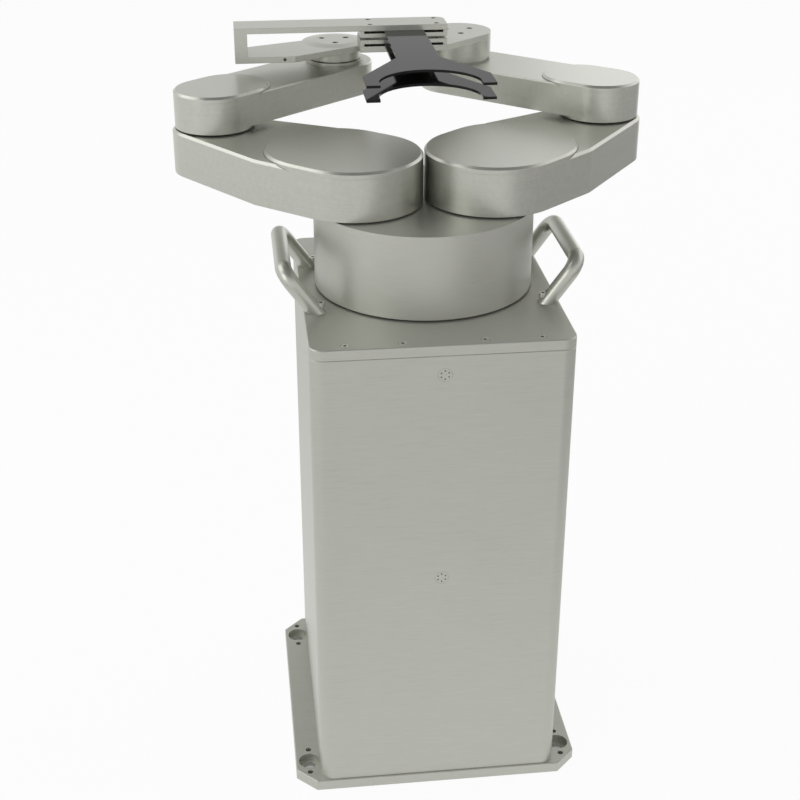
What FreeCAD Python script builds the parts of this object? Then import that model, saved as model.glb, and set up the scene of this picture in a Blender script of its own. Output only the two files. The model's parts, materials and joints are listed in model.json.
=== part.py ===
"""Dual-arm wafer handling robot: lift column, turret, two belt-driven arms and two stacked forks.

Millimetres. +Z is up, +X is the robot's right and -Y is the front, where the forks point.
The origin is the middle of the base flange, on the floor.
"""
import FreeCAD, Part
import math
import os
import re
import Sketcher
from FreeCAD import Placement, Rotation, Vector

doc = FreeCAD.newDocument("wafer_robot")
sheet = doc.addObject("Spreadsheet::Sheet", "dims")

# Driving dimensions
DIMS = {
    # column and base
    "col_w": 300, "col_d": 353, "col_r": 16, "col_wall": 18, "casing_h": 586,
    "flange_ear": 30, "flange_lip": 2, "flange_t": 14, "flange_cham": 25, "edge_cham": 1,
    "anchor_out": 12.5, "anchor_in": 38.5, "anchor_d": 14, "anchor_head_d": 27, "anchor_head_h": 8,
    "dowel_off": 21.5, "dowel_d": 7,
    "plate_t": 12.5, "plate_screw_in": 12, "plate_screw_x": 46, "plate_screw_x2": 110,
    "screw_head_r": 4.5, "screw_head_h": 5, "screw_r": 2.5, "screw_len": 16, "screw_fit": 0.1,
    "head_fit": 0.5, "socket_r": 2.3, "socket_h": 2.5,
    "stud_r": 8, "stud_h": 4, "stud_low": 295, "stud_drop": 23.5, "stud_hole_r": 0.9, "stud_hole_h": 2,
    "stud_hole_pcd": 10,
    # lifting handles
    "grip_r": 9.5, "grip_bend": 18, "grip_foot_x": 135.5, "grip_fore": 14, "grip_span": 145,
    "grip_high": 60.5, "grip_lean_deg": 35.5,
    "grip_screw_in": 5.8, "grip_screw_seat": 7, "grip_stock": 10, "grip_screw_len": 15,
    # lift
    "axis_back": 158.5, "tube_r": 92, "tube_wall": 8, "tube_low": 36, "neck_gap": 2, "tube_foot_t": 10,
    "spine_side": 7, "spine_t": 10, "spine_drop": 14, "spine_gap": 0.4,
    "rail_x": 50, "rail_w": 15, "rail_t": 12, "block_w": 34, "block_h": 50, "slide_gap": 0.3,
    "carriage_w": 140, "carriage_h": 180, "carriage_low": 46, "carriage_back": 12, "saddle": 6,
    "block_end": 10, "block_rest": 1.7, "rail_end": 6,
    "screw_side": 27, "screw_out": 28.1, "lead_r": 8, "lead_drop": 16, "coupling_r": 14, "coupling_h": 16,
    "lift_motor_r": 25, "lift_motor_h": 96, "coupling_gap": 2, "bearing_w": 40, "bearing_h": 20,
    "low_bearing_up": 4, "top_bearing_drop": 2, "nut_h": 40, "nut_w": 40, "nut_low": 100,
    # turret
    "drum_r": 130.5, "drum_h": 100, "drum_gap": 2, "drum_wall": 6, "drum_floor": 8,
    "deck_t": 14, "deck_fit": 0.1, "deck_ledge": 1.5,
    "theta_r": 35, "theta_flange_r": 60, "theta_flange_t": 6, "theta_len": 140, "theta_bearing_h": 24,
    "theta_bearing_in": 8, "theta_motor_r": 62, "theta_motor_h": 120, "theta_motor_gap": 30.5,
    "motor_flange_t": 8,
    # arms
    "arm_x": 82, "arm_gap": 2, "link_len": 210.5, "fold_deg": 49,
    "upper_t": 54, "upper_r": 81, "upper_run": 84, "elbow_r": 52, "upper_cham": 3,
    "fore_t": 42, "fore_r": 48.5, "fore_boss": 3.7, "fore_cham": 1.3, "link_wall": 7, "link_floor": 8,
    "upper_lid_len": 30, "upper_lid_rise": 4.3, "fore_lid_len": 28, "fore_lid_rise": 3.5,
    "lid_sink": 3.5, "lid_cham": 2.7, "lid_gap": 0.3, "lid_rim": 14,
    # drives inside the arms
    "run_fit": 0.05, "free_gap": 1,
    "shoulder_r": 24, "shoulder_bore": 17.5, "shoulder_flange_r": 34, "ring_flange_t": 4,
    "shoulder_bearing_r": 34, "shoulder_bearing_h": 12,
    "arm_motor_r": 40, "arm_motor_h": 64, "arm_motor_cap": 8,
    "big_pulley_r": 50, "small_pulley_r": 25, "pulley_up": 7.5, "pulley_w": 12,
    "belt_t": 2, "belt_w": 10, "belt_fit": 0.3,
    "elbow_shaft_r": 17, "elbow_bore": 11.5, "elbow_bearing_r": 27, "elbow_flange_r": 26, "elbow_foot": 3.5,
    "post_pulley_r": 18, "hand_pulley_r": 36, "fore_pulley_up": 8, "fore_pulley_w": 10, "fore_belt_w": 8,
    "wrist_shaft_r": 14, "wrist_bearing_r": 24, "wrist_foot": 2,
    # wrists and hands
    "collar_r": 38, "collar_h": 3.5, "hub_gap": 0.5, "left_hub_r": 34, "right_hub_r": 42, "left_hub_h": 13,
    "hand_r": 42, "hand_t": 7.5, "hand_gap": 2.5, "hand_reach": 79.2, "hand_depth": 43,
    "hand_screw_pcd": 36, "hand_screw_h": 3, "hand_screw_sink": 0.8, "hex_h": 1.6,
    "wrist_head_r": 3.5, "wrist_shank_r": 2, "wrist_hex_r": 1.75,
    "clamp_head_r": 2.7, "clamp_shank_r": 1.5, "clamp_hex_r": 1.45,
    "tap_x": 150, "tap_r": 2, "tap_h": 8, "dome_r": 28, "dome_h": 2,
    "riser_x": 212, "riser_w": 16, "knee_x": 137, "left_back_in": 23.2, "back_turn_deg": 8,
    "head_w": 110, "bar_t": 7, "bar_round": 12, "clamp_t": 5, "stack_gap": 3,
    "clamp_screw_x": 42, "clamp_screw_in": 7,
    # forks
    "fork_t": 3, "slot_w": 100, "tail_fit": 0.5, "tail_in": 12, "tail_rest": 3, "neck_w": 50, "neck_len": 137,
    "fork_w": 145, "fork_side": 219, "fork_len": 261, "tip_w": 15.5, "mouth_side": 243, "mouth_len": 197,
}
for row, (alias, size) in enumerate(DIMS.items(), start=1):
    sheet.set(f"A{row}", alias)
    sheet.set(f"B{row}", str(size))
    sheet.setAlias(f"B{row}", alias)
doc.recompute()

# Levels, each a sum of the pieces below it
Z_CASING = "flange_t"
Z_PLATE = Z_CASING + " + casing_h"
Z_DECK = Z_PLATE + " + plate_t"
Z_DRUM = Z_DECK + " + drum_gap"
Z_UPPER = Z_DRUM + " + drum_h + arm_gap"
Z_FORE = Z_UPPER + " + upper_t + arm_gap"
Z_COLLAR = Z_FORE + " + fore_t"
Z_HUB = Z_COLLAR + " + collar_h + hub_gap"
Z_LEFT_HAND = Z_HUB + " + left_hub_h"
Z_RIGHT_HAND = Z_LEFT_HAND + " + hand_t + hand_gap"
Z_LOWER_FORK = Z_RIGHT_HAND + " + hand_t"
Z_UPPER_CLAMP = Z_LOWER_FORK + " + fork_t + clamp_t + stack_gap"
Z_UPPER_FORK = Z_UPPER_CLAMP + " + clamp_t"
Z_BAR = Z_UPPER_FORK + " + fork_t"
Z_PULLEY = Z_UPPER + " + link_floor + pulley_up"
Z_FORE_PULLEY = Z_FORE + " + link_floor + fore_pulley_up"

# Places in plan
AXIS_Y = "(col_d / 2 - axis_back)"
ELBOW_X = "arm_x + link_len * sin(fold_deg * 1 deg)"
ELBOW_Y = AXIS_Y + " + link_len * cos(fold_deg * 1 deg)"
WRIST_Y = AXIS_Y + " + 2 * link_len * cos(fold_deg * 1 deg)"
HAND_FRONT = f"({WRIST_Y} - hand_reach)"
HAND_BACK = HAND_FRONT + " + hand_depth"
SPINE_FRONT = "col_d / 2 - col_wall - spine_gap - spine_t"
BLOCK_FRONT = AXIS_Y + " + tube_r + carriage_back"
SIDES = (("left", -1), ("right", 1))


def formula(text):
    """Points every size name in a formula at its cell."""
    return re.sub(r"[a-z_][a-z_0-9]*", lambda m: "dims." + m[0] if m[0] in DIMS else m[0], text)


def size(text):
    """Value of a formula of size names."""
    return float(sheet.evalExpression(formula(text)))


def bind(obj, prop, text):
    obj.setExpression(prop, formula(text))


def place(obj, x="0", y="0", z="0", turn=None):
    """Sets an object down at x, y, z, turned about Z."""
    if turn is not None:
        obj.Placement = Placement(Vector(), Rotation(Vector(0, 0, 1), 1))
        bind(obj, "Placement.Rotation.Angle", turn)
    for axis, text in zip("xyz", (x, y, z)):
        bind(obj, "Placement.Base." + axis, text)
    return obj


def cylinder(r, height, x="0", y="0", z="0"):
    obj = doc.addObject("Part::Cylinder", "round")
    bind(obj, "Radius", r)
    bind(obj, "Height", height)
    return place(obj, x, y, z)


def box(lx, ly, lz, x="0", y="0", z="0"):
    """Box with its low corner at x, y, z."""
    obj = doc.addObject("Part::Box", "block")
    bind(obj, "Length", lx)
    bind(obj, "Width", ly)
    bind(obj, "Height", lz)
    return place(obj, x, y, z)


def cone(low_r, top_r, height, x="0", y="0", z="0"):
    obj = doc.addObject("Part::Cone", "taper")
    bind(obj, "Radius1", low_r)
    bind(obj, "Radius2", top_r)
    bind(obj, "Height", height)
    return place(obj, x, y, z)


def hexagon(r, height, x="0", y="0", z="0"):
    obj = doc.addObject("Part::Prism", "socket")
    obj.Polygon = 6
    bind(obj, "Circumradius", r)
    bind(obj, "Height", height)
    return place(obj, x, y, z)


def fuse(*shapes):
    obj = doc.addObject("Part::MultiFuse", "joined")
    obj.Shapes = list(shapes)
    obj.Refine = True
    return obj


def cut(base, *tools):
    obj = doc.addObject("Part::Cut", "cut")
    obj.Base = base
    obj.Tool = tools[0] if len(tools) == 1 else fuse(*tools)
    return obj


def group(*shapes):
    """Separate solids that share one node."""
    obj = doc.addObject("Part::Compound", "set")
    obj.Links = list(shapes)
    return obj


NODES = []


def node(name, obj):
    """Names a finished sub-part."""
    obj.Label = name
    NODES.append(obj)
    return obj


# Sketches and bodies
def new_body():
    return doc.addObject("PartDesign::Body", "body")


def new_sketch(body, z="0", role="XY_Plane"):
    """Sketch on one of the body's own planes, z along its normal."""
    plane = next(f for f in body.Origin.OriginFeatures if f.Role == role)
    sketch = body.newObject("Sketcher::SketchObject", "outline")
    sketch.AttachmentSupport = [(plane, "")]
    sketch.MapMode = "FlatFace"
    bind(sketch, "AttachmentOffset.Base.z", z)
    return sketch


def constrain(sketch, text, kind, *where):
    """Adds a dimension that follows a formula."""
    index = sketch.addConstraint(Sketcher.Constraint(kind, *where, size(text)))
    sketch.setExpression(f"Constraints[{index}]", formula(text))


def pin_point(sketch, geo, pos, x, y):
    constrain(sketch, x, "DistanceX", -1, 1, geo, pos)
    constrain(sketch, y, "DistanceY", -1, 1, geo, pos)


def add_line(sketch, a, b):
    return sketch.addGeometry(Part.LineSegment(Vector(*a, 0), Vector(*b, 0)))


def add_arc(sketch, centre, r, start, end):
    """Arc anticlockwise from angle start to angle end, in radians."""
    circle = Part.Circle(Vector(*centre, 0), Vector(0, 0, 1), r)
    return sketch.addGeometry(Part.ArcOfCircle(circle, start, end))


def join(sketch, kind, a, a_end, b, b_end):
    sketch.addConstraint(Sketcher.Constraint(kind, a, a_end, b, b_end))


def polygon(sketch, corners):
    """Closed outline through corners given as pairs of formulas."""
    spots = [(size(x), size(y)) for x, y in corners]
    lines = [add_line(sketch, spots[i], spots[(i + 1) % len(spots)]) for i in range(len(spots))]
    for i, line in enumerate(lines):
        join(sketch, "Coincident", line, 2, lines[(i + 1) % len(lines)], 1)
        pin_point(sketch, line, 1, *corners[i])


def rectangle(sketch, x0, y0, x1, y1):
    polygon(sketch, [(x0, y0), (x1, y0), (x1, y1), (x0, y1)])


def circle(sketch, r, x="0", y="0"):
    ring = sketch.addGeometry(Part.Circle(Vector(size(x), size(y), 0), Vector(0, 0, 1), size(r)))
    pin_point(sketch, ring, 3, x, y)
    constrain(sketch, r, "Radius", ring)


def link_outline(sketch, r1, r2, length):
    """Round ends r1 at the origin and r2 at length along X, with tangent sides."""
    big, small, reach = size(r1), size(r2), size(length)
    lean = math.acos((big - small) / reach)
    tip = (math.cos(lean), math.sin(lean))
    near = add_arc(sketch, (0, 0), big, lean, 2 * math.pi - lean)
    far = add_arc(sketch, (reach, 0), small, -lean, lean)
    top = add_line(sketch, (big * tip[0], big * tip[1]), (reach + small * tip[0], small * tip[1]))
    low = add_line(sketch, (reach + small * tip[0], -small * tip[1]), (big * tip[0], -big * tip[1]))
    for a, a_end, b, b_end in ((near, 1, top, 1), (top, 2, far, 2), (far, 1, low, 1), (low, 2, near, 2)):
        join(sketch, "Tangent", a, a_end, b, b_end)
    pin_point(sketch, near, 3, "0", "0")
    pin_point(sketch, far, 3, length, "0")
    constrain(sketch, r1, "Radius", near)
    constrain(sketch, r2, "Radius", far)


def upper_outline(sketch, inset):
    """Upper arm in plan: wide pivot end, a straight run, then a taper to the elbow."""
    big, small = size(f"upper_r - {inset}"), size(f"elbow_r - {inset}")
    run, reach = size("upper_run"), size("link_len")
    swing = math.hypot(reach - run, big)
    lean = math.atan2(big, reach - run) + math.acos(small / swing)
    lean = math.pi - lean
    tip = (reach + small * math.cos(lean), small * math.sin(lean))
    near = add_arc(sketch, (0, 0), big, math.pi / 2, 1.5 * math.pi)
    far = add_arc(sketch, (reach, 0), small, -lean, lean)
    top = add_line(sketch, (0, big), (run, big))
    top_taper = add_line(sketch, (run, big), tip)
    low_taper = add_line(sketch, (tip[0], -tip[1]), (run, -big))
    low = add_line(sketch, (run, -big), (0, -big))
    join(sketch, "Tangent", near, 1, top, 1)
    join(sketch, "Coincident", top, 2, top_taper, 1)
    join(sketch, "Tangent", top_taper, 2, far, 2)
    join(sketch, "Tangent", far, 1, low_taper, 1)
    join(sketch, "Coincident", low_taper, 2, low, 1)
    join(sketch, "Tangent", low, 2, near, 2)
    sketch.addConstraint(Sketcher.Constraint("Horizontal", top))
    sketch.addConstraint(Sketcher.Constraint("Horizontal", low))
    pin_point(sketch, near, 3, "0", "0")
    pin_point(sketch, far, 3, "link_len", "0")
    constrain(sketch, f"upper_r - {inset}", "Radius", near)
    constrain(sketch, f"elbow_r - {inset}", "Radius", far)
    constrain(sketch, "upper_run", "DistanceX", -1, 1, top, 2)
    constrain(sketch, "upper_run", "DistanceX", -1, 1, low, 1)


def pad(body, sketch, length):
    feature = body.newObject("PartDesign::Pad", "pad")
    feature.Profile = sketch
    bind(feature, "Length", length)
    doc.recompute()
    return feature


def pocket(body, sketch, length):
    """Cuts down from the sketch."""
    before = body.Shape.Volume
    feature = body.newObject("PartDesign::Pocket", "pocket")
    feature.Profile = sketch
    bind(feature, "Length", length)
    doc.recompute()
    if body.Shape.Volume >= before:
        raise ValueError("a pocket cut nothing")
    return feature


def bevel_top(body, width):
    """Chamfers the rim of the body's highest face."""
    base = body.Tip
    faces = base.Shape.Faces
    rise = max(range(len(faces)), key=lambda i: faces[i].CenterOfMass.z)
    feature = body.newObject("PartDesign::Chamfer", "bevel")
    feature.Base = (base, [f"Face{rise + 1}"])
    bind(feature, "Size", width)
    doc.recompute()
    return feature


def rounded_rectangle(sketch, half_x, half_y, r):
    """Rectangle about the origin with round corners."""
    hx, hy, rad = size(half_x), size(half_y), size(r)
    corners = ((1, 1), (-1, 1), (-1, -1), (1, -1))
    arcs = [add_arc(sketch, (sx * (hx - rad), sy * (hy - rad)), rad, q * math.pi / 2, (q + 1) * math.pi / 2)
            for q, (sx, sy) in enumerate(corners)]
    ends = [((hx - rad, hy), (rad - hx, hy)), ((-hx, hy - rad), (-hx, rad - hy)),
            ((rad - hx, -hy), (hx - rad, -hy)), ((hx, rad - hy), (hx, hy - rad))]
    lines = [add_line(sketch, a, b) for a, b in ends]
    for i, line in enumerate(lines):
        join(sketch, "Tangent", arcs[i], 2, line, 1)
        join(sketch, "Tangent", line, 2, arcs[(i + 1) % 4], 1)
        sketch.addConstraint(Sketcher.Constraint("Vertical" if i % 2 else "Horizontal", line))
        constrain(sketch, r, "Radius", arcs[i])
    kinds = ("DistanceY", "DistanceX") * 2
    for line, kind, text in zip(lines, kinds, (half_y, f"-({half_x})", f"-({half_y})", half_x)):
        constrain(sketch, text, kind, -1, 1, line, 1)


def drilled(base, *holes):
    """Cuts round holes, each (radius, depth, x, y, z of its floor)."""
    return cut(base, *[cylinder(*hole) for hole in holes])


# Base and column
def base_flange():
    """Floor plate: ears left and right carry the anchors, each between two dowel holes."""
    body = new_body()
    outline = new_sketch(body)
    x, y = "(col_w / 2 + flange_ear)", "(col_d / 2 + flange_lip)"
    near_x, near_y = f"({x} - flange_cham)", f"({y} - flange_cham)"
    polygon(outline, [(f"-{near_x}", f"-{y}"), (near_x, f"-{y}"), (x, f"-{near_y}"), (x, near_y),
                      (near_x, y), (f"-{near_x}", y), (f"-{x}", near_y), (f"-{x}", f"-{near_y}")])
    pad(body, outline, "flange_t")
    bevel_top(body, "edge_cham")
    heads = new_sketch(body, "flange_t")
    holes = new_sketch(body, "flange_t")
    for sx in (-1, 1):
        for sy in (-1, 1):
            spot = (f"{sx} * (col_w / 2 + anchor_out)", f"{sy} * (col_d / 2 - anchor_in)")
            circle(heads, "anchor_head_d / 2", *spot)
            circle(holes, "anchor_d / 2", *spot)
            for side in (-1, 1):
                circle(holes, "dowel_d / 2", spot[0], f"{spot[1]} + {side} * dowel_off")
    pocket(body, heads, "anchor_head_h")
    pocket(body, holes, "flange_t")
    node("base_flange", body)


PLATE_SCREWS = [(f"{sx} * {x}", f"{sy} * (col_d / 2 - plate_screw_in)")
                for sy in (-1, 1) for sx in (-1, 1) for x in ("plate_screw_x", "plate_screw_x2")]
STUD_LEVELS = (Z_CASING + " + stud_low", Z_PLATE + " - stud_drop")


def round_back(r, depth, x, front, z):
    """Round that runs back from y = front."""
    obj = cylinder(r, depth, x, f"{front} + {depth}", z)
    obj.Placement.Rotation = Rotation(Vector(1, 0, 0), 90)
    return obj


def front_plug(level):
    """Flush plug in the column's front face, with a ring of small holes for a pin wrench."""
    holes = []
    for k in range(6):
        x, z = (f"stud_hole_pcd / 2 * {way}({k * 60} * 1 deg)" for way in ("sin", "cos"))
        holes.append(round_back("stud_hole_r", "stud_hole_h", x, "-col_d / 2", f"{level} + {z}"))
    return cut(round_back("stud_r", "stud_h", "0", "-col_d / 2", level), *holes)


def column():
    """Casing, its lid and the fasteners of both."""
    body = new_body()
    outline = new_sketch(body)
    rounded_rectangle(outline, "col_w / 2", "col_d / 2", "col_r")
    pad(body, outline, "casing_h")
    bevel_top(body, "edge_cham")
    hollow = new_sketch(body, "casing_h")
    inner_x, inner_y = "(col_w / 2 - col_wall)", "(col_d / 2 - col_wall)"
    rectangle(hollow, f"-{inner_x}", f"-{inner_y}", inner_x, inner_y)
    pocket(body, hollow, "casing_h")
    holes = new_sketch(body, "casing_h")
    for spot in PLATE_SCREWS:
        circle(holes, "screw_r + screw_fit", *spot)
    pocket(body, holes, "screw_head_h + screw_len - plate_t")
    place(body, z=Z_CASING)
    seats = [round_back("stud_r + screw_fit", "stud_h", "0", "-col_d / 2", level) for level in STUD_LEVELS]
    node("column_casing", cut(body, *seats))
    node("front_fasteners", group(*[front_plug(level) for level in STUD_LEVELS]))

    lid = new_body()
    outline = new_sketch(lid)
    rounded_rectangle(outline, "col_w / 2", "col_d / 2", "col_r")
    pad(lid, outline, "plate_t")
    bevel_top(lid, "edge_cham")
    heads = new_sketch(lid, "plate_t")
    holes = new_sketch(lid, "plate_t")
    circle(holes, "tube_r + neck_gap", "0", AXIS_Y)
    for spot in PLATE_SCREWS:
        circle(heads, "screw_head_r + head_fit", *spot)
        circle(holes, "screw_r + screw_fit", *spot)
    pocket(lid, heads, "screw_head_h")
    pocket(lid, holes, "plate_t")
    grip_holes = new_sketch(lid, "plate_t")
    for spot in GRIP_SCREWS:
        circle(grip_holes, "screw_r + screw_fit", *spot)
    pocket(lid, grip_holes, "grip_screw_len - grip_screw_seat")
    node("top_plate", place(lid, z=Z_PLATE))
    node("top_plate_screws", group(*[cap_screw(x, y, Z_DECK, "screw_len") for x, y in PLATE_SCREWS]))


def cap_screw(x, y, top, length):
    """Socket-head cap screw whose head ends at level top."""
    head = cylinder("screw_head_r", "screw_head_h", x, y, f"{top} - screw_head_h")
    shank = cylinder("screw_r", length, x, y, f"{top} - screw_head_h - ({length})")
    return cut(fuse(head, shank), hexagon("socket_r", "socket_h", x, y, f"{top} - socket_h"))


# Lifting handles
GRIP_Y = f"({AXIS_Y} - grip_fore)"
GRIP_SCREWS = [(f"{s} * (grip_foot_x - grip_screw_in)", f"{GRIP_Y} + {e} * grip_span / 2")
               for s in (-1, 1) for e in (-1, 1)]
SEAT = Z_DECK + " + grip_screw_seat"


def handle(name, side):
    """Round rod bent to a U that leans outward, cut flush with the lid of the column."""
    body = new_body()
    path = new_sketch(body)
    half, high, bend, stock = (size(t) for t in ("grip_span / 2", "grip_high", "grip_bend", "grip_stock"))
    up = add_line(path, (-half, -stock), (-half, high - bend))
    first = add_arc(path, (bend - half, high - bend), bend, math.pi / 2, math.pi)
    grip = add_line(path, (bend - half, high), (half - bend, high))
    second = add_arc(path, (half - bend, high - bend), bend, 0, math.pi / 2)
    down = add_line(path, (half, high - bend), (half, -stock))
    meets = ((up, 2, first, 2), (first, 1, grip, 1), (grip, 2, second, 2), (second, 1, down, 1))
    for a, a_end, b, b_end in meets:
        join(path, "Tangent", a, a_end, b, b_end)
    pin_point(path, up, 1, "-grip_span / 2", "-grip_stock")
    pin_point(path, down, 2, "grip_span / 2", "-grip_stock")
    path.addConstraint(Sketcher.Constraint("Vertical", up))
    path.addConstraint(Sketcher.Constraint("Vertical", down))
    constrain(path, "grip_high", "DistanceY", -1, 1, grip, 1)
    constrain(path, "grip_bend", "Radius", first)
    constrain(path, "grip_bend", "Radius", second)
    section = new_sketch(body, "grip_stock", "XZ_Plane")
    circle(section, "grip_r", "-grip_span / 2", "0")
    doc.recompute()
    rod = body.newObject("PartDesign::AdditivePipe", "rod")
    rod.Profile = section
    rod.Spine = (path, [f"Edge{i}" for i in range(1, 6)])
    doc.recompute()
    lean = Rotation(Vector(0, 1, 0), side * size("grip_lean_deg"))
    body.Placement = Placement(Vector(), lean * Rotation(Vector(1, 1, 1), 120))
    place(body, f"{side} * grip_foot_x", GRIP_Y, Z_DECK)
    floor = box("col_w", "col_d", "plate_t + grip_stock", f"{side} * grip_foot_x - col_w / 2", "-col_d / 2",
                f"{Z_DECK} - plate_t - grip_stock")
    tools = [floor]
    for x, y in GRIP_SCREWS[:2] if side < 0 else GRIP_SCREWS[2:]:
        tools.append(cylinder("screw_head_r + head_fit", "grip_high", x, y, SEAT))
        tools.append(cylinder("screw_r + screw_fit", "grip_screw_len", x, y, f"{SEAT} - grip_screw_len"))
    node(name, cut(body, *tools))


def handles():
    for name, side in SIDES:
        handle(name + "_handle", side)
    screws = [cap_screw(x, y, f"{SEAT} + screw_head_h", "grip_screw_len") for x, y in GRIP_SCREWS]
    node("handle_screws", group(*screws))


# Lift inside the column
Z_TUBE = Z_CASING + " + tube_low"
Z_CARRIAGE = Z_CASING + " + carriage_low"
Z_COUPLING = Z_CASING + " + lift_motor_h + coupling_gap"
Z_LEAD = Z_COUPLING + " + coupling_h"
LEAD_TOP = Z_PLATE + " - lead_drop"
SCREW_SPOT = ("(col_w / 2 - col_wall - screw_side)", f"({SPINE_FRONT} - screw_out)")
TUBE_BORE = "tube_r - tube_wall"
Z_THETA_FOOT = Z_DRUM + " + drum_floor - theta_len"
Z_THETA_BEARING = Z_DECK + " - theta_bearing_in - theta_bearing_h"
Z_THETA_MOTOR = Z_THETA_BEARING + " - theta_motor_gap - theta_motor_h"


def lift_guide():
    """Spine and rails that stand on the flange, and the carriage that rides on them."""
    half, height = "(col_w / 2 - col_wall - spine_side)", "casing_h - spine_drop"
    node("lift_spine", box(f"2 * {half}", "spine_t", height, f"-{half}", SPINE_FRONT, Z_CASING))
    rail_y = SPINE_FRONT + " - rail_t"
    rails = [box("rail_w", "rail_t", f"{height} - 2 * rail_end", f"{s} * rail_x - rail_w / 2", rail_y,
                 Z_CASING + " + rail_end") for s in (-1, 1)]
    node("lift_rails", group(*rails))
    depth = f"{SPINE_FRONT} - block_rest - ({BLOCK_FRONT})"
    groove_y = f"{rail_y} - slide_gap"
    blocks = []
    for s in (-1, 1):
        for up in ("block_end", "carriage_h - block_end - block_h"):
            level = f"{Z_CARRIAGE} + {up}"
            block = box("block_w", depth, "block_h", f"{s} * rail_x - block_w / 2", BLOCK_FRONT, level)
            groove = box("rail_w + 2 * slide_gap", "rail_t", "block_h",
                         f"{s} * rail_x - rail_w / 2 - slide_gap", groove_y, level)
            blocks.append(cut(block, groove))
    node("rail_blocks", group(*blocks))
    front = AXIS_Y + " + tube_r - saddle"
    plate = box("carriage_w", "saddle + carriage_back", "carriage_h", "-carriage_w / 2", front, Z_CARRIAGE)
    node("lift_carriage", cut(plate, cylinder("tube_r", "carriage_h", "0", AXIS_Y, Z_CARRIAGE)))
    height = "casing_h + plate_t - tube_low"
    tube = cylinder("tube_r", height, "0", AXIS_Y, Z_TUBE)
    bore = cylinder(TUBE_BORE, height, "0", AXIS_Y, Z_TUBE + " + tube_foot_t")
    node("lift_tube", cut(tube, bore))


def lift_drive():
    """Motor, coupling and ball screw, its two bearings and the nut on the carriage."""
    x, y = SCREW_SPOT
    node("lift_motor", cylinder("lift_motor_r", "lift_motor_h", x, y, Z_CASING))
    node("lift_screw", fuse(cylinder("coupling_r", "coupling_h", x, y, Z_COUPLING),
                            cylinder("lead_r", f"{LEAD_TOP} - ({Z_LEAD})", x, y, Z_LEAD)))
    bearings = []
    for level in (Z_LEAD + " + low_bearing_up", LEAD_TOP + " - top_bearing_drop - bearing_h"):
        block = box("bearing_w", "screw_out + bearing_w / 2", "bearing_h", f"{x} - bearing_w / 2",
                    f"{y} - bearing_w / 2", level)
        bearings.append(drilled(block, ("lead_r + run_fit", "bearing_h", x, y, level)))
    node("screw_bearings", group(*bearings))
    level = Z_CARRIAGE + " + nut_low"
    width = f"{x} + nut_w / 2 - carriage_w / 2"
    block = box(width, "nut_w", "nut_h", "carriage_w / 2", f"{y} - nut_w / 2", level)
    node("lift_nut", drilled(block, ("lead_r + run_fit", "nut_h", x, y, level)))


def turn_drive():
    """Motor and bearing in the lift tube, and the shaft that carries the turret."""
    spot = ("0", AXIS_Y)
    ring = cylinder(f"{TUBE_BORE} - run_fit", "theta_bearing_h", *spot, Z_THETA_BEARING)
    node("theta_bearing", drilled(ring, ("theta_r + run_fit", "theta_bearing_h", *spot, Z_THETA_BEARING)))
    case = fuse(cylinder("theta_motor_r", "theta_motor_h", *spot, Z_THETA_MOTOR),
                cylinder(f"{TUBE_BORE} - run_fit", "motor_flange_t", *spot, Z_THETA_MOTOR))
    hole = ("theta_r + free_gap", "theta_motor_h", *spot, Z_THETA_FOOT + " - free_gap")
    node("theta_motor", drilled(case, hole))
    floor = Z_DRUM + " + drum_floor"
    node("theta_shaft", fuse(cylinder("theta_r", "theta_len", *spot, Z_THETA_FOOT),
                             cylinder("theta_flange_r", "theta_flange_t", *spot, floor)))


# Turret
Z_TURRET_DECK = Z_DRUM + " + drum_h - deck_t"
Z_ARM_MOTOR = Z_TURRET_DECK + " - arm_motor_h"
Z_POST = Z_ARM_MOTOR + " + arm_motor_cap"


def turret():
    """Drum with a floor on the turning shaft, and the deck that the arms stand on."""
    spot = ("0", AXIS_Y)
    bore = "drum_r - drum_wall"
    drum = cylinder("drum_r", "drum_h", *spot, Z_DRUM)
    node("turret_drum", drilled(
        drum,
        (bore, "deck_t", *spot, Z_TURRET_DECK),
        (bore + " - deck_ledge", "drum_h", *spot, Z_DRUM + " + drum_floor"),
        ("theta_r + run_fit", "drum_floor", *spot, Z_DRUM)))
    deck = cylinder(bore + " - deck_fit", "deck_t", *spot, Z_TURRET_DECK)
    holes = [("shoulder_bearing_r + run_fit", "deck_t", f"{s} * arm_x", AXIS_Y, Z_TURRET_DECK)
             for _, s in SIDES]
    node("turret_deck", drilled(deck, *holes))
    bearings, motors, pulleys = [], [], []
    for _, s in SIDES:
        spot = (f"{s} * arm_x", AXIS_Y)
        ring = cylinder("shoulder_bearing_r", "shoulder_bearing_h", *spot, Z_TURRET_DECK)
        bearings.append(drilled(ring, ("shoulder_r + run_fit", "shoulder_bearing_h", *spot, Z_TURRET_DECK)))
        case = cylinder("arm_motor_r", "arm_motor_h", *spot, Z_ARM_MOTOR)
        motors.append(drilled(case, ("shoulder_r + free_gap", "arm_motor_h", *spot, Z_POST)))
        post = cylinder("shoulder_bore - free_gap", f"{Z_PULLEY} + pulley_w - ({Z_POST})", *spot, Z_POST)
        pulleys.append(fuse(post, cylinder("big_pulley_r", "pulley_w", *spot, Z_PULLEY)))
    node("shoulder_bearings", group(*bearings))
    node("arm_motors", group(*motors))
    node("shoulder_pulleys", group(*pulleys))


# Arms
def lid_cuts(body, height, r, lid_len):
    """Step for a lid, open at the link's round end, and the opening that the lid closes."""
    step = new_sketch(body, height)
    link_outline(step, f"{r} + lid_gap", f"{r} + lid_gap", lid_len)
    pocket(body, step, "lid_sink")
    opening = new_sketch(body, height)
    link_outline(opening, f"{r} - lid_rim", f"{r} - lid_rim", lid_len)
    pocket(body, opening, "link_floor")


def round_cut(body, r, x, top, depth):
    hole = new_sketch(body, top)
    circle(hole, r, x)
    pocket(body, hole, depth)


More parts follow.
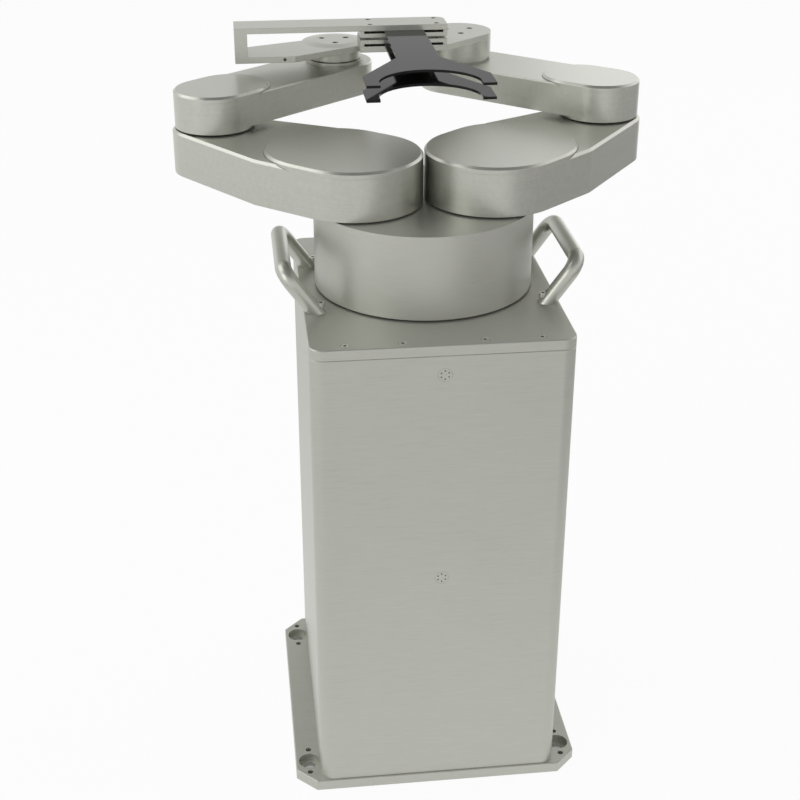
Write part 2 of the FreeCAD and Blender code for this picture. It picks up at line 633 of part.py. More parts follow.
def lid(r, lid_len, rise):
    """Bevelled cover, flush with the link's round end and raised above its top."""
    body = new_body()
    outline = new_sketch(body)
    link_outline(outline, r, r, lid_len)
    pad(body, outline, f"lid_sink + {rise}")
    bevel_top(body, "lid_cham")
    return body


def belt(r1, r2, width):
    """Toothed belt as a flat loop round two pulleys."""
    body = new_body()
    loop = new_sketch(body)
    link_outline(loop, f"{r1} + belt_fit + belt_t", f"{r2} + belt_fit + belt_t", "link_len")
    pad(body, loop, width)
    inside = new_sketch(body, width)
    link_outline(inside, f"{r1} + belt_fit", f"{r2} + belt_fit", "link_len")
    pocket(body, inside, width)
    return body


def upper_arm(name, s):
    """Tapered hollow link: driven at the shoulder, it holds the first belt and the elbow's bearing."""
    at = {"x": f"{s} * arm_x", "y": AXIS_Y, "turn": f"90 - {s} * fold_deg"}
    body = new_body()
    outline = new_sketch(body)
    upper_outline(outline, "0")
    pad(body, outline, "upper_t")
    bevel_top(body, "upper_cham")
    hollow = new_sketch(body, "upper_t - link_floor")
    upper_outline(hollow, "link_wall")
    pocket(body, hollow, "upper_t - 2 * link_floor")
    lid_cuts(body, "upper_t", "upper_r", "upper_lid_len")
    round_cut(body, "shoulder_r + run_fit", "0", "link_floor", "link_floor")
    round_cut(body, "elbow_bearing_r + run_fit", "link_len", "upper_t", "link_floor")
    node(name + "_upper_arm", place(body, z=Z_UPPER, **at))
    cover = lid("upper_r", "upper_lid_len", "upper_lid_rise")
    node(name + "_upper_cover", place(cover, z=Z_UPPER + " + upper_t - lid_sink", **at))
    level = Z_PULLEY + " + (pulley_w - belt_w) / 2"
    node(name + "_upper_belt", place(belt("big_pulley_r", "small_pulley_r", "belt_w"), z=level, **at))

    spot = (f"{s} * arm_x", AXIS_Y)
    floor = Z_UPPER + " + link_floor"
    foot = Z_POST + " + ring_flange_t"
    shaft = fuse(cylinder("shoulder_r", f"{floor} - ({foot})", *spot, foot),
                 cylinder("shoulder_flange_r", "ring_flange_t", *spot, floor))
    bore = ("shoulder_bore", f"{floor} + ring_flange_t - ({foot})", *spot, foot)
    node(name + "_shoulder_shaft", drilled(shaft, bore))

    spot = (f"{s} * ({ELBOW_X})", ELBOW_Y)
    roof = Z_UPPER + " + upper_t - link_floor"
    ring = cylinder("elbow_bearing_r", "link_floor", *spot, roof)
    node(name + "_elbow_bearing", drilled(ring, ("elbow_shaft_r + run_fit", "link_floor", *spot, roof)))
    post = cylinder("elbow_bore - free_gap", f"{Z_FORE_PULLEY} + fore_pulley_w - ({floor})", *spot, floor)
    node(name + "_elbow_post", fuse(post, cylinder("post_pulley_r", "fore_pulley_w", *spot, Z_FORE_PULLEY)))


def forearm(name, s):
    """Outer hollow link: turned by the first belt, it holds the second one and the wrist's bearing.

    A round boss at the elbow lifts it clear of the upper arm's lid.
    """
    at = {"x": f"{s} * ({ELBOW_X})", "y": ELBOW_Y, "turn": f"90 + {s} * fold_deg"}
    body = new_body()
    outline = new_sketch(body, "fore_boss")
    link_outline(outline, "fore_r", "fore_r", "link_len")
    pad(body, outline, "fore_t - fore_boss")
    bevel_top(body, "fore_cham")
    boss = new_sketch(body)
    circle(boss, "fore_r")
    pad(body, boss, "fore_boss")
    collar = new_sketch(body, "fore_t")
    circle(collar, "collar_r", "link_len")
    pad(body, collar, "collar_h")
    hollow = new_sketch(body, "fore_t - link_floor")
    link_outline(hollow, "fore_r - link_wall", "fore_r - link_wall", "link_len")
    pocket(body, hollow, "fore_t - 2 * link_floor")
    lid_cuts(body, "fore_t", "fore_r", "fore_lid_len")
    round_cut(body, "elbow_shaft_r + run_fit", "0", "link_floor", "link_floor")
    round_cut(body, "wrist_bearing_r + run_fit", "link_len", "fore_t + collar_h", "link_floor + collar_h")
    node(name + "_forearm", place(body, z=Z_FORE, **at))
    cover = lid("fore_r", "fore_lid_len", "fore_lid_rise")
    node(name + "_forearm_cover", place(cover, z=Z_FORE + " + fore_t - lid_sink", **at))
    level = Z_FORE_PULLEY + " + (fore_pulley_w - fore_belt_w) / 2"
    node(name + "_forearm_belt", place(belt("post_pulley_r", "hand_pulley_r", "fore_belt_w"), z=level, **at))

    spot = (f"{s} * ({ELBOW_X})", ELBOW_Y)
    floor = Z_FORE + " + link_floor"
    foot = Z_PULLEY + " - elbow_foot"
    shaft = fuse(cylinder("elbow_shaft_r", f"{floor} - ({foot})", *spot, foot),
                 cylinder("small_pulley_r", "pulley_w", *spot, Z_PULLEY),
                 cylinder("elbow_flange_r", "ring_flange_t", *spot, floor))
    bore = ("elbow_bore", f"{floor} + ring_flange_t - ({foot})", *spot, foot)
    node(name + "_elbow_shaft", drilled(shaft, bore))

    spot = (f"{s} * arm_x", WRIST_Y)
    roof = Z_COLLAR + " - link_floor"
    height = "link_floor + collar_h"
    ring = cylinder("wrist_bearing_r", height, *spot, roof)
    node(name + "_wrist_bearing", drilled(ring, ("wrist_shaft_r + run_fit", height, *spot, roof)))


# Hands
def hand_spots(s):
    """Screws round the wrist, one of them at the front."""
    turns = [f"{k * 120 - 90} * 1 deg" for k in range(3)]
    return [(f"{s} * arm_x + hand_screw_pcd / 2 * cos({a})", f"{WRIST_Y} + hand_screw_pcd / 2 * sin({a})")
            for a in turns]


CLAMP_SPOTS = [(f"{sx} * clamp_screw_x", y) for sx in (-1, 1)
               for y in (HAND_FRONT + " + clamp_screw_in", HAND_BACK + " - clamp_screw_in")]
SMALL_SEAT = "(hand_screw_h + hand_screw_sink)"
WRIST_SCREW = ("wrist_head_r", "wrist_shank_r", "wrist_hex_r")
CLAMP_SCREW = ("clamp_head_r", "clamp_shank_r", "clamp_hex_r")


def small_screw(kind, spot, top, length):
    """Socket screw of the wrists or clamps, whose head is sunk a little below level top."""
    head_r, shank_r, hex_r = kind
    seat, crown = f"{top} - {SMALL_SEAT}", f"{top} - hand_screw_sink"
    head = cylinder(head_r, "hand_screw_h", *spot, seat)
    shank = cylinder(shank_r, length, *spot, f"{seat} - ({length})")
    return cut(fuse(head, shank), hexagon(hex_r, "hex_h", *spot, f"{crown} - hex_h"))


def small_holes(kind, spots, top, length):
    """Counterbored holes for such screws."""
    head_r, shank_r, _ = kind
    seat = f"{top} - {SMALL_SEAT}"
    heads = [(head_r + " + head_fit", SMALL_SEAT, *spot, seat) for spot in spots]
    shanks = [(shank_r + " + screw_fit", length, *spot, f"{seat} - ({length})") for spot in spots]
    return heads + shanks


def wrist(name, s, hub_r, hub_h, top):
    """Shaft with the second belt's pulley, and the hub that it turns, with screws from level top."""
    spot = (f"{s} * arm_x", WRIST_Y)
    foot = Z_FORE + " + link_floor + wrist_foot"
    shaft = cylinder("wrist_shaft_r", f"{Z_HUB} - ({foot})", *spot, foot)
    node(name + "_wrist_shaft", fuse(shaft, cylinder("hand_pulley_r", "fore_pulley_w", *spot, Z_FORE_PULLEY)))
    hub = cylinder(hub_r, hub_h, *spot, Z_HUB)
    node(name + "_wrist_hub", drilled(hub, *small_holes(WRIST_SCREW, hand_spots(s), top, "hand_t")))


def left_plate():
    """Plate from the wrist to the riser: straight front by the riser, then a slant to the round wrist end.

    The wrist end has a low cone on top, and the front edge a tapped hole.
    """
    body = new_body()
    outline = new_sketch(body)
    end_x, knee = "-riser_x + riser_w", "-knee_x"
    centre = (-size("arm_x"), size(WRIST_Y))
    r = size("hand_r")
    start = (size(knee), size(HAND_FRONT))
    gap = (centre[0] - start[0], centre[1] - start[1])
    slant = math.atan2(gap[1], gap[0]) - math.asin(r / math.hypot(*gap))
    back_x = "-(arm_x + hand_r * cos(back_turn_deg * 1 deg))"
    back = (size(back_x), size(WRIST_Y + " + hand_r * sin(back_turn_deg * 1 deg)"))
    touch = (centre[0] + r * math.sin(slant), centre[1] - r * math.cos(slant))
    left_back = WRIST_Y + " - left_back_in"
    left = (size(end_x), size(left_back))
    low = (size(end_x), size(HAND_FRONT))
    side = add_line(outline, left, low)
    front = add_line(outline, low, start)
    diagonal = add_line(outline, start, touch)
    first = slant - math.pi / 2
    last = math.atan2(back[1] - centre[1], back[0] - centre[0])
    arc = add_arc(outline, centre, r, first, last)
    rear = add_line(outline, back, left)
    join(outline, "Coincident", side, 2, front, 1)
    join(outline, "Coincident", front, 2, diagonal, 1)
    join(outline, "Tangent", diagonal, 2, arc, 1)
    join(outline, "Coincident", arc, 2, rear, 1)
    join(outline, "Coincident", rear, 2, side, 1)
    pin_point(outline, side, 1, end_x, left_back)
    pin_point(outline, front, 1, end_x, HAND_FRONT)
    pin_point(outline, diagonal, 1, knee, HAND_FRONT)
    pin_point(outline, arc, 3, "-arm_x", WRIST_Y)
    constrain(outline, "hand_r", "Radius", arc)
    constrain(outline, back_x, "DistanceX", -1, 1, rear, 1)
    pad(body, outline, "hand_t")
    place(body, z=Z_LEFT_HAND)
    dome = cone("hand_r - edge_cham", "dome_r", "dome_h", "-arm_x", WRIST_Y, Z_LEFT_HAND + " + hand_t")
    tap = round_back("tap_r", "tap_h", "-tap_x", HAND_FRONT, Z_LEFT_HAND + " + hand_t / 2")
    return cut(fuse(body, dome), tap)


def right_plate():
    """Plate from the wrist to the seat of the lower fork, with slanting sides."""
    body = new_body()
    outline = new_sketch(body)
    half = "head_w / 2"
    centre = (size("arm_x"), size(WRIST_Y))
    r = size("hand_r")
    near, far = (size(half), size(HAND_FRONT)), (-size(half), size(HAND_BACK))

    def touch(start, way):
        gap = (centre[0] - start[0], centre[1] - start[1])
        slant = math.atan2(gap[1], gap[0]) - way * math.asin(r / math.hypot(*gap))
        return slant - way * math.pi / 2

    first, last = touch(near, 1), touch(far, -1)
    spots = [(centre[0] + r * math.cos(a), centre[1] + r * math.sin(a)) for a in (first, last)]
    front = add_line(outline, (-near[0], near[1]), near)
    diagonal = add_line(outline, near, spots[0])
    arc = add_arc(outline, centre, r, first, last)
    rear = add_line(outline, spots[1], far)
    side = add_line(outline, far, (-near[0], near[1]))
    join(outline, "Coincident", front, 2, diagonal, 1)
    join(outline, "Tangent", diagonal, 2, arc, 1)
    join(outline, "Tangent", arc, 2, rear, 1)
    join(outline, "Coincident", rear, 2, side, 1)
    join(outline, "Coincident", side, 2, front, 1)
    pin_point(outline, front, 1, f"-{half}", HAND_FRONT)
    pin_point(outline, diagonal, 1, half, HAND_FRONT)
    pin_point(outline, side, 1, f"-{half}", HAND_BACK)
    pin_point(outline, arc, 3, "arm_x", WRIST_Y)
    constrain(outline, "hand_r", "Radius", arc)
    pad(body, outline, "hand_t")
    return place(body, z=Z_RIGHT_HAND)


def bridge():
    """Riser and bar in one piece, open to the right so that the lower fork's hand can pass inside."""
    body = new_body()
    profile = new_sketch(body, "-" + HAND_FRONT, "XZ_Plane")
    left, inner, right = "-riser_x", "-riser_x + riser_w", "head_w / 2"
    top = Z_BAR + " + bar_t"
    polygon(profile, [(left, Z_LEFT_HAND), (inner, Z_LEFT_HAND), (inner, Z_BAR), (right, Z_BAR), (right, top),
                      (left, top)])
    feature = pad(body, profile, "hand_depth")
    feature.Reversed = True
    doc.recompute()
    edges = feature.Shape.Edges
    corner = max(range(len(edges)), key=lambda i: edges[i].CenterOfMass.x + edges[i].CenterOfMass.y)
    rounded = body.newObject("PartDesign::Fillet", "rounded")
    rounded.Base = (feature, [f"Edge{corner + 1}"])
    bind(rounded, "Radius", "bar_round")
    doc.recompute()
    return body


def clamp(level, slot_level):
    """Clamp across a fork's tail: the slot is as deep as the fork is thick and open at both ends."""
    block = box("head_w", "hand_depth", "clamp_t + fork_t", "-head_w / 2", HAND_FRONT, level)
    return cut(block, box("slot_w", "hand_depth", "fork_t", "-slot_w / 2", HAND_FRONT, slot_level))


def fork(level):
    """Flat fork: tail in the clamp, neck, and two prongs round a concave mouth."""
    body = new_body()
    outline = new_sketch(body)
    side, tip, neck, tail = "fork_w / 2", "fork_w / 2 - tip_w", "neck_w / 2", "slot_w / 2 - tail_fit"
    tail_y, tail_back = HAND_FRONT + " + tail_in", HAND_BACK + " - tail_rest"
    mouth_y, tip_y, side_y, neck_y = (f"{HAND_FRONT} - {name}" for name in
                                      ("mouth_side", "fork_len", "fork_side", "neck_len"))
    rise = "(mouth_side - mouth_len)"
    mouth_r = f"(({tip})^2 + {rise}^2) / (2 * {rise})"
    half = [(tip, mouth_y), (tip, tip_y), (side, tip_y), (side, side_y),
            (neck, neck_y), (neck, tail_y), (tail, tail_y), (tail, tail_back)]
    corners = half + [(f"-({x})", y) for x, y in reversed(half)]
    spots = [(size(x), size(y)) for x, y in corners]
    lines = [add_line(outline, a, b) for a, b in zip(spots, spots[1:])]
    drop = size(f"{HAND_FRONT} - mouth_len - {mouth_r}")
    angle = math.atan2(spots[0][1] - drop, spots[0][0])
    mouth = add_arc(outline, (0, drop), size(mouth_r), angle, math.pi - angle)
    for a, b in zip(lines, lines[1:]):
        join(outline, "Coincident", a, 2, b, 1)
    join(outline, "Coincident", mouth, 1, lines[0], 1)
    join(outline, "Coincident", mouth, 2, lines[-1], 2)
    for line, corner in zip(lines, corners):
        pin_point(outline, line, 1, *corner)
    pin_point(outline, lines[-1], 2, *corners[-1])
    constrain(outline, mouth_r, "Radius", mouth)
    pad(body, outline, "fork_t")
    holes = new_sketch(body, "fork_t")
    for spot in CLAMP_SPOTS:
        circle(holes, "clamp_shank_r + screw_fit", *spot)
    pocket(body, holes, "fork_t")
    return place(body, z=level)


def hands():
    """Left hand: bridge and upper fork. Right hand: lower fork, which passes inside the bridge."""
    right_hub_h = "left_hub_h + hand_t + hand_gap"
    left_top, right_top = Z_LEFT_HAND + " + hand_t + dome_h", Z_RIGHT_HAND + " + hand_t"
    wrist("left", -1, "left_hub_r", "left_hub_h", left_top)
    wrist("right", 1, "right_hub_r", right_hub_h, right_top)
    left_holes = small_holes(WRIST_SCREW, hand_spots(-1), left_top, "hand_t")
    node("left_hand_plate", drilled(left_plate(), *left_holes))
    bar_top = Z_BAR + " + bar_t"
    upper_reach = f"bar_t - {SMALL_SEAT} + fork_t + clamp_t"
    upper_holes = small_holes(CLAMP_SCREW, CLAMP_SPOTS, bar_top, upper_reach)
    node("bridge_bracket", drilled(bridge(), *upper_holes))
    node("upper_clamp", drilled(clamp(Z_UPPER_CLAMP, Z_UPPER_FORK), *upper_holes))
    node("upper_fork", fork(Z_UPPER_FORK))
    left_set = [small_screw(WRIST_SCREW, spot, left_top, "hand_t") for spot in hand_spots(-1)]
    left_set += [small_screw(CLAMP_SCREW, spot, bar_top, upper_reach) for spot in CLAMP_SPOTS]
    node("left_hand_screws", group(*left_set))

    lower_top = Z_LOWER_FORK + " + fork_t + clamp_t"
    lower_reach = f"clamp_t - {SMALL_SEAT} + fork_t + hand_t"
    lower_holes = small_holes(CLAMP_SCREW, CLAMP_SPOTS, lower_top, lower_reach)
    right_holes = small_holes(WRIST_SCREW, hand_spots(1), right_top, "hand_t")
    node("right_hand_plate", drilled(right_plate(), *right_holes, *lower_holes))
    node("lower_clamp", drilled(clamp(Z_LOWER_FORK, Z_LOWER_FORK), *lower_holes))
    node("lower_fork", fork(Z_LOWER_FORK))
    right_set = [small_screw(WRIST_SCREW, spot, right_top, "hand_t") for spot in hand_spots(1)]
    right_set += [small_screw(CLAMP_SCREW, spot, lower_top, lower_reach) for spot in CLAMP_SPOTS]
    node("right_hand_screws", group(*right_set))


def check_and_write():
    """Refuses a failed feature or an invalid solid, then writes each sub-part."""
    doc.recompute()
    for obj in doc.Objects:
        if "Invalid" in obj.State or "Error" in obj.State:
            raise ValueError(f"{obj.Name} ({obj.Label}) failed: {obj.State}")
    for obj in NODES:
        if obj.Shape.isNull() or not obj.Shape.isValid() or not obj.Shape.Solids:
            raise ValueError(f"{obj.Label} is not a valid solid")
    os.makedirs("parts", exist_ok=True)
    for obj in NODES:
        obj.Shape.exportStep(f"parts/{obj.Label}.step")


base_flange()
column()
handles()
lift_guide()
lift_drive()
turn_drive()
turret()
for side_name, side_sign in SIDES:
    upper_arm(side_name, side_sign)
    forearm(side_name, side_sign)
hands()
check_and_write()
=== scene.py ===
"""Looks of the wafer handling robot: brushed warm grey aluminium, dark forks, a white studio."""
import json
import math
import bpy
from mathutils import Matrix, Vector

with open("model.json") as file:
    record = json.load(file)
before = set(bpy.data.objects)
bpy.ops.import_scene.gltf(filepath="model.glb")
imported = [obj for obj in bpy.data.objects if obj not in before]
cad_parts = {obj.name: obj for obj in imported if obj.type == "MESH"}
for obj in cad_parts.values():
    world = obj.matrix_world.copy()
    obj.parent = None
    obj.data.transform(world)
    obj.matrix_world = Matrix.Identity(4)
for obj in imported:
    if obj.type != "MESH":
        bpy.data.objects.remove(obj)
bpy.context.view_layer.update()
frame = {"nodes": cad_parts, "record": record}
nodes = frame["nodes"]
scene = bpy.context.scene
scene.view_settings.view_transform = "Standard"


# Materials
NOISE_LOW, NOISE_HIGH = 0.3, 0.7    # where nearly all values of a noise lie
NOISE_MIDDLE = (NOISE_LOW + NOISE_HIGH) / 2
# Painted shade: ambient occlusion darkens the colour in a piece's own holes and slots
HOLE_SHADE_REACH = 0.004                  # how near a wall must be for painted shade in a hole or slot
HOLE_SHADE_SHUT, HOLE_SHADE_OPEN = 0.1, 0.5     # open shares at which the painted hole shade is darkest and at which it ends
HOLE_SHADE_DARKEST = 0.05


def shade(colour, factor):
    """The colour, darker or lighter by the factor."""
    return tuple(min(1.0, c * factor) for c in colour)


def set_stops(ramp, stops):
    """Gives a colour ramp its stops, in rising order."""
    elements = ramp.color_ramp.elements
    while len(elements) < len(stops):
        elements.new(0.5)
    for element, (position, colour) in zip(elements, stops):
        element.position = position
        element.color = (*colour, 1)


def greys(levels):
    """Stops of a grey ramp from pairs of position and level."""
    return [(position, (level, level, level)) for position, level in levels]


class Tree:
    """A material's nodes, with its shader ready."""

    def __init__(self, name):
        self.material = bpy.data.materials.new(name)
        self.material.use_nodes = True
        self.nodes = self.material.node_tree.nodes
        self.links = self.material.node_tree.links
        self.shader = self.nodes["Principled BSDF"]

    def add(self, kind, **settings):
        made = self.nodes.new("ShaderNode" + kind)
        for key, value in settings.items():
            setattr(made, key, value)
        return made

    def link(self, source, target):
        self.links.new(source, target)

    def feed(self, value, socket):
        """Gives a socket a number or the value of another socket."""
        if isinstance(value, float):
            socket.default_value = value
        else:
            self.link(value, socket)

    def combine(self, operation, a, b):
        """Result of a Math node on two numbers or sockets."""
        made = self.add("Math", operation=operation)
        self.feed(a, made.inputs[0])
        self.feed(b, made.inputs[1])
        return made.outputs[0]

    def noise(self, stretch, detail=3.0):
        """Noise over the piece's own coordinates, stretched by a scale for each axis."""
        coords = self.add("TexCoord")
        mapping = self.add("Mapping")
        mapping.inputs["Scale"].default_value = stretch
        texture = self.add("TexNoise")
        texture.inputs["Scale"].default_value = 1.0
        texture.inputs["Detail"].default_value = detail
        self.link(coords.outputs["Object"], mapping.inputs["Vector"])
        self.link(mapping.outputs["Vector"], texture.inputs["Vector"])
        return texture.outputs["Fac"]

    def ramp(self, value, colour, depth, flat=0.0):
        """Runs a noise from a darker to a lighter colour, with an even stretch in the middle."""
        made = self.add("ValToRGB")
        factors = ((NOISE_LOW, 1 - depth), (NOISE_MIDDLE - flat, 1),
                   (NOISE_MIDDLE + flat, 1), (NOISE_HIGH, 1 + depth))
        set_stops(made, [(position, shade(colour, factor)) for position, factor in factors])
        self.link(value, made.inputs["Fac"])
        return made.outputs["Color"]

    def span(self, value, middle, spread):
        """Runs a noise over a spread of numbers to both sides of a middle one."""
        made = self.add("MapRange")
        made.inputs["From Min"].default_value = NOISE_LOW
        made.inputs["From Max"].default_value = NOISE_HIGH
        made.inputs["To Min"].default_value = middle - spread
        made.inputs["To Max"].default_value = middle + spread
        self.link(value, made.inputs["Value"])
        return made.outputs["Result"]

    def mix(self, factor, a, b):
        """Goes from a to b by the factor."""
        made = self.add("Mix", data_type="FLOAT")
        self.feed(factor, made.inputs[0])
        self.feed(a, made.inputs[2])
        self.feed(b, made.inputs[3])
        return made.outputs[0]

    def bump(self, height, strength, distance, edge):
        """Relief on the surface, with its edges rounded off."""
        soft = self.add("Bevel", samples=4)
        soft.inputs["Radius"].default_value = edge
        made = self.add("Bump")
        made.inputs["Strength"].default_value = strength
        made.inputs["Distance"].default_value = distance
        self.link(height, made.inputs["Height"])
        self.link(soft.outputs["Normal"], made.inputs["Normal"])
        self.link(made.outputs["Normal"], self.shader.inputs["Normal"])

    def paint_hole_shade(self, colour):
        """The colour, with painted shade from ambient occlusion in the piece's own holes and slots.
        """
        near = self.add("AmbientOcclusion", samples=6, only_local=True)
        near.inputs["Distance"].default_value = HOLE_SHADE_REACH
        open_share = self.add("MapRange")
        open_share.inputs["From Min"].default_value = HOLE_SHADE_SHUT
        open_share.inputs["From Max"].default_value = HOLE_SHADE_OPEN
        open_share.inputs["To Min"].default_value = HOLE_SHADE_DARKEST
        self.link(near.outputs["AO"], open_share.inputs["Value"])
        made = self.add("Mix", data_type="RGBA", blend_type="MULTIPLY")
        made.inputs[0].default_value = 1.0
        self.link(colour, made.inputs[6])
        self.link(open_share.outputs["Result"], made.inputs[7])
        return made.outputs[2]

    def levelness(self):
        """1 on level faces and 0 on upright ones."""
        normal = self.add("NewGeometry")
        parts = self.add("SeparateXYZ")
        self.link(normal.outputs["Normal"], parts.inputs["Vector"])
        level = self.add("Math", operation="ABSOLUTE")
        self.link(parts.outputs["Z"], level.inputs[0])
        return level.outputs[0]


def brushed_metal(name, colour, roughness, metallic, grain, streak, mottle, share, depth,
                  flat=0.0, painted_hole_shade=True):
    """Aluminium with level brush lines on its walls, lines along X on its tops, and a mottle.

    grain and streak are the noise's scales across and along the lines, and mottle that of its
    clouds, which make up the given share. depth is the change of tone, and flat half the width of
    the even stretch in the middle of the noise.
    """
    tree = Tree(name)
    walls = tree.noise((streak, streak, grain))
    tops = tree.noise((streak, grain, streak))
    lines = tree.mix(tree.levelness(), walls, tops)
    cloud = tree.noise((mottle, mottle, mottle), 4.0)
    value = tree.mix(share, lines, cloud)
    finish = tree.ramp(value, colour, depth, flat)
    # Painted shade darkens the colour in the piece's own holes and slots, unless turned off
    tree.link(tree.paint_hole_shade(finish) if painted_hole_shade else finish, tree.shader.inputs["Base Color"])
    tree.link(tree.span(value, roughness, spread=0.045), tree.shader.inputs["Roughness"])
    tree.shader.inputs["Metallic"].default_value = metallic
    tree.bump(lines, strength=0.05, distance=0.0004, edge=0.0006)
    return tree.material


def plain(name, colour, roughness, metallic, depth=0.1):
    """Even finish with a fine speckle, and painted shade in its own holes and slots."""
    tree = Tree(name)
    speckle = 400.0
    grain = tree.noise((speckle, speckle, speckle), 2.0)
    tree.link(tree.paint_hole_shade(tree.ramp(grain, colour, depth)), tree.shader.inputs["Base Color"])
    tree.link(tree.span(grain, roughness, spread=0.05), tree.shader.inputs["Roughness"])
    tree.shader.inputs["Metallic"].default_value = metallic
    tree.bump(grain, strength=0.01, distance=0.0003, edge=0.0004)
    return tree.material


def fork_plate(name, colour, roughness):
    """Smooth black composite with a faint weave, which mirrors the room at a low angle."""
    tree = Tree(name)
    fine, long = 2500.0, 60.0
    weave = tree.mix(0.5, tree.noise((fine, long, long), 2.0), tree.noise((long, fine, long), 2.0))
    tree.link(tree.ramp(weave, colour, depth=0.2), tree.shader.inputs["Base Color"])
    tree.link(tree.span(weave, roughness, spread=0.03), tree.shader.inputs["Roughness"])
    tree.shader.inputs["Specular IOR Level"].default_value = 0.068
    tree.bump(weave, strength=0.02, distance=0.0001, edge=0.0003)
    return tree.material


GREY = (0.50, 0.505, 0.455)
LOOKS = {
    "column_grey": brushed_metal(
        "column_grey", GREY, roughness=0.42, metallic=0.75,
        grain=700.0, streak=36.0, mottle=14.0, share=0.25, depth=0.07, flat=0.05, painted_hole_shade=False),
    "arm_grey": brushed_metal(
        "arm_grey", shade(GREY, 1.02), roughness=0.33, metallic=0.9,
        grain=1300.0, streak=14.0, mottle=200.0, share=0.5, depth=0.07),
    "handle_grey": plain("handle_grey", GREY, roughness=0.33, metallic=0.9, depth=0.04),
    "fork_dark": fork_plate("fork_dark", (0.015, 0.015, 0.015), roughness=0.07),
    "steel": plain("steel", (0.7, 0.69, 0.66), roughness=0.34, metallic=1.0),
    "inner_aluminium": brushed_metal(
        "inner_aluminium", (0.6, 0.6, 0.58), roughness=0.35, metallic=0.9,
        grain=900.0, streak=9.0, mottle=14.0, share=0.3, depth=0.05),
    "motor_black": plain("motor_black", (0.03, 0.03, 0.032), roughness=0.5, metallic=0.0),
    "belt_black": plain("belt_black", (0.02, 0.02, 0.02), roughness=0.75, metallic=0.0),
}
# The small screws of the hands are blackened steel
blackened = plain("blackened_steel", (0.06, 0.06, 0.058), roughness=0.35, metallic=0.6)
OWN_LOOKS = {"left_hand_screws": blackened, "right_hand_screws": blackened}
for entry in frame["record"]["subparts"]:
    mesh = nodes[entry["node"]].data
    mesh.materials.clear()
    mesh.materials.append(OWN_LOOKS.get(entry["node"], LOOKS[entry["material_slot"]]))


# Studio
FLOOR_HALF = 15.0
FLOOR_Z = -0.0005
SEEN_SHARE = 0.94    # part of the floor's look that is its own white, and not lit by the lamps
MATT_ROUGHNESS = 0.9
# Drop of the floor's level in mirror images, by the share of the reach from the middle
RING_REACH = 3.0
DIMMER_RING = ((0.0, 0.0), (0.12, 0.0), (0.4, 0.2), (0.6, 0.2), (0.9, 0.0))
# White walls that fade upward, and a dim ceiling, by the sine of the height above the horizon
SKY = ((0.0, 0.95), (0.3, 0.9), (0.5, 0.83), (0.68, 0.5), (0.84, 0.26), (1.0, 0.24))


def level_corners(left, front, right, back, z):
    """Corners of a level rectangle that faces up."""
    return [(left, front, z), (right, front, z), (right, back, z), (left, back, z)]


def seen_rays(tree, strength):
    """Strength for camera, glossy and transmission rays, and 0 for the rest."""
    path = tree.add("LightPath")
    total = path.outputs["Is Camera Ray"]
    for kind in ("Is Glossy Ray", "Is Transmission Ray"):
        total = tree.combine("MAXIMUM", total, path.outputs[kind])
    return tree.combine("MULTIPLY", total, strength)


def mirrored_level(tree):
    """1, and less for glossy rays in a wide ring round the robot, where the room is dimmer."""
    coords = tree.add("TexCoord")
    distance = tree.add("VectorMath", operation="LENGTH")
    tree.link(coords.outputs["Object"], distance.inputs[0])
    ring = tree.add("ValToRGB")
    set_stops(ring, greys(DIMMER_RING))
    tree.link(tree.combine("DIVIDE", distance.outputs["Value"], RING_REACH), ring.inputs["Fac"])
    path = tree.add("LightPath")
    drop = tree.combine("MULTIPLY", ring.outputs["Color"], path.outputs["Is Glossy Ray"])
    return tree.combine("SUBTRACT", 1.0, drop)


def floor_look():
    """White to the eye, with a soft part of the shadow left in."""
    tree = Tree("studio_floor")
    tree.shader.inputs["Base Color"].default_value = (0.9, 0.9, 0.9, 1)
    tree.shader.inputs["Roughness"].default_value = MATT_ROUGHNESS
    tree.shader.inputs["Specular IOR Level"].default_value = 0.0
    glow = tree.add("Emission")
    tree.link(mirrored_level(tree), glow.inputs["Strength"])
    mix = tree.add("MixShader")
    tree.link(seen_rays(tree, SEEN_SHARE), mix.inputs[0])
    tree.link(tree.shader.outputs["BSDF"], mix.inputs[1])
    tree.link(glow.outputs["Emission"], mix.inputs[2])
    tree.link(mix.outputs[0], tree.nodes["Material Output"].inputs["Surface"])
    return tree.material


floor_mesh = bpy.data.meshes.new("floor")
floor_corners = level_corners(-FLOOR_HALF, -FLOOR_HALF, FLOOR_HALF, FLOOR_HALF, 0)
floor_mesh.from_pydata(floor_corners, [], [(0, 1, 2, 3)])
floor = bpy.data.objects.new("floor", floor_mesh)
floor.location.z = FLOOR_Z
scene.collection.objects.link(floor)
floor_mesh.materials.append(floor_look())

world = bpy.data.worlds.new("studio")
scene.world = world
world.use_nodes = True
sky_nodes, sky_links = world.node_tree.nodes, world.node_tree.links
sky_coords = sky_nodes.new("ShaderNodeTexCoord")
sky_parts = sky_nodes.new("ShaderNodeSeparateXYZ")
sky_ramp = sky_nodes.new("ShaderNodeValToRGB")
sky_links.new(sky_coords.outputs["Generated"], sky_parts.inputs["Vector"])
sky_links.new(sky_parts.outputs["Z"], sky_ramp.inputs["Fac"])
sky_links.new(sky_ramp.outputs["Color"], sky_nodes["Background"].inputs["Color"])
set_stops(sky_ramp, greys(SKY))


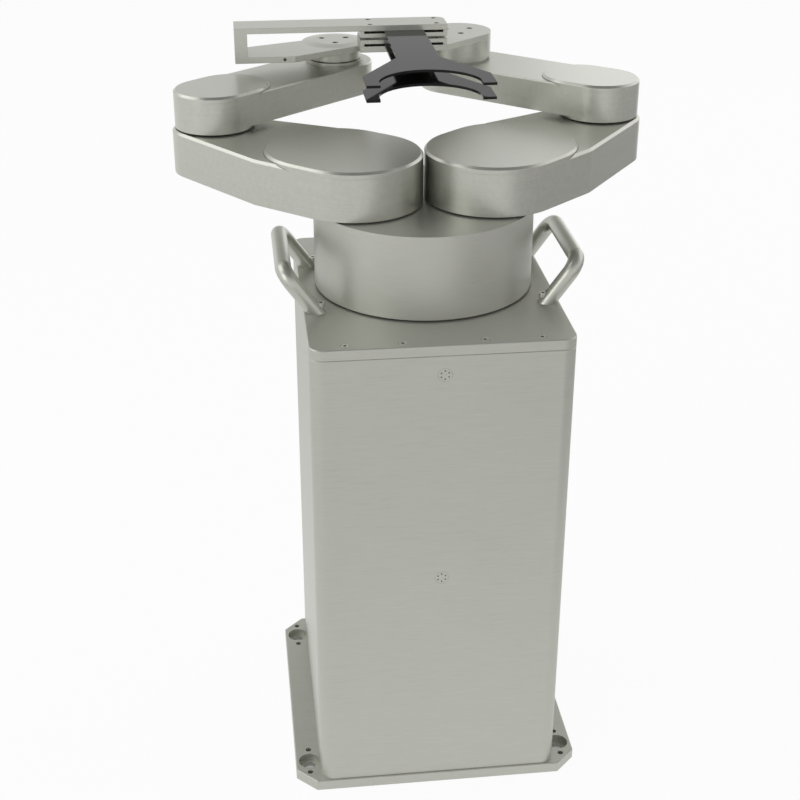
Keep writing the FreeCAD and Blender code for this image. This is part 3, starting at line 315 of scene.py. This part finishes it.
def card(name, corners, grey, glow=0.0):
    """Plain matt grey card of the studio, which casts no shadow."""
    mesh = bpy.data.meshes.new(name)
    mesh.from_pydata(corners, [], [(0, 1, 2, 3)])
    tree = Tree(name)
    tree.shader.inputs["Base Color"].default_value = (grey, grey, grey, 1)
    tree.shader.inputs["Roughness"].default_value = MATT_ROUGHNESS
    # A glow of its own makes a card lighter than the lamps would, which the painted shade under the
    # base uses
    tree.shader.inputs["Emission Color"].default_value = (1, 1, 1, 1)
    tree.shader.inputs["Emission Strength"].default_value = glow
    mesh.materials.append(tree.material)
    made = bpy.data.objects.new(name, mesh)
    made.visible_diffuse = False
    made.visible_shadow = False
    scene.collection.objects.link(made)
    return made


# Two cards at the right, out of the camera's sight, tone down what the right-hand walls mirror
SIDE_X, SIDE_FRONT, SIDE_BACK, SIDE_TOP = 1.25, -0.9, 1.2, 0.65
side = card("side_card", [(SIDE_X, SIDE_FRONT, 0), (SIDE_X, SIDE_BACK, 0),
                          (SIDE_X, SIDE_BACK, SIDE_TOP), (SIDE_X, SIDE_FRONT, SIDE_TOP)], 0.58)
side.visible_camera = False
front = card("front_card", level_corners(0.7, -2.4, 2.8, -0.7, 0), 0.55)
front.visible_camera = False
# Painted shade: a grey card under the base, with a faint glow of its own, stands for the floor in
# the base's shade, as seen through the anchor holes
SHADE_X, SHADE_Y, SHADE_Z = 0.17, 0.163, -0.0002
card("painted_foot_shade", level_corners(-SHADE_X, -SHADE_Y, SHADE_X, SHADE_Y, SHADE_Z), 0.4, 0.22)

LAMP_AIM = (0, 0, 0.6)


def lamp(name, place, size, power):
    """Soft square lamp that the camera doesn't see."""
    data = bpy.data.lights.new(name, "AREA")
    data.size = size
    data.energy = power
    made = bpy.data.objects.new(name, data)
    made.location = place
    made.rotation_mode = "QUATERNION"
    made.rotation_quaternion = (Vector(LAMP_AIM) - Vector(place)).to_track_quat("-Z", "Y")
    made.visible_camera = False
    scene.collection.objects.link(made)


lamp("left_box", (-1.95, 0.5, 2.6), size=2.0, power=18)
lamp("right_box", (2.25, 0.8, 2.15), size=2.2, power=8)
lamp("back_right", (1.8, 3.1, 1.5), size=2.0, power=7)
lamp("left_front", (-2.4, -1.5, 1.6), size=1.6, power=12)

# Camera at the photograph's place
FOCAL_PX, IMAGE_PX, SENSOR = 1469.0, 800, 36.0
YAW, PITCH, ROLL = 0.118097, 0.467679, -0.0021
CAMERA_PLACE = (-0.2222, -1.624, 1.28466)
camera_data = bpy.data.cameras.new("camera")
camera_data.sensor_width = SENSOR
camera_data.lens = FOCAL_PX * SENSOR / IMAGE_PX
camera = bpy.data.objects.new("camera", camera_data)
heading = Matrix.Rotation(-YAW, 4, "Z")
tilt = Matrix.Rotation(math.pi / 2 - PITCH, 4, "X")
lean = Matrix.Rotation(-ROLL, 4, "Z")
camera.matrix_world = Matrix.Translation(CAMERA_PLACE) @ heading @ tilt @ lean
scene.collection.objects.link(camera)
scene.camera = camera
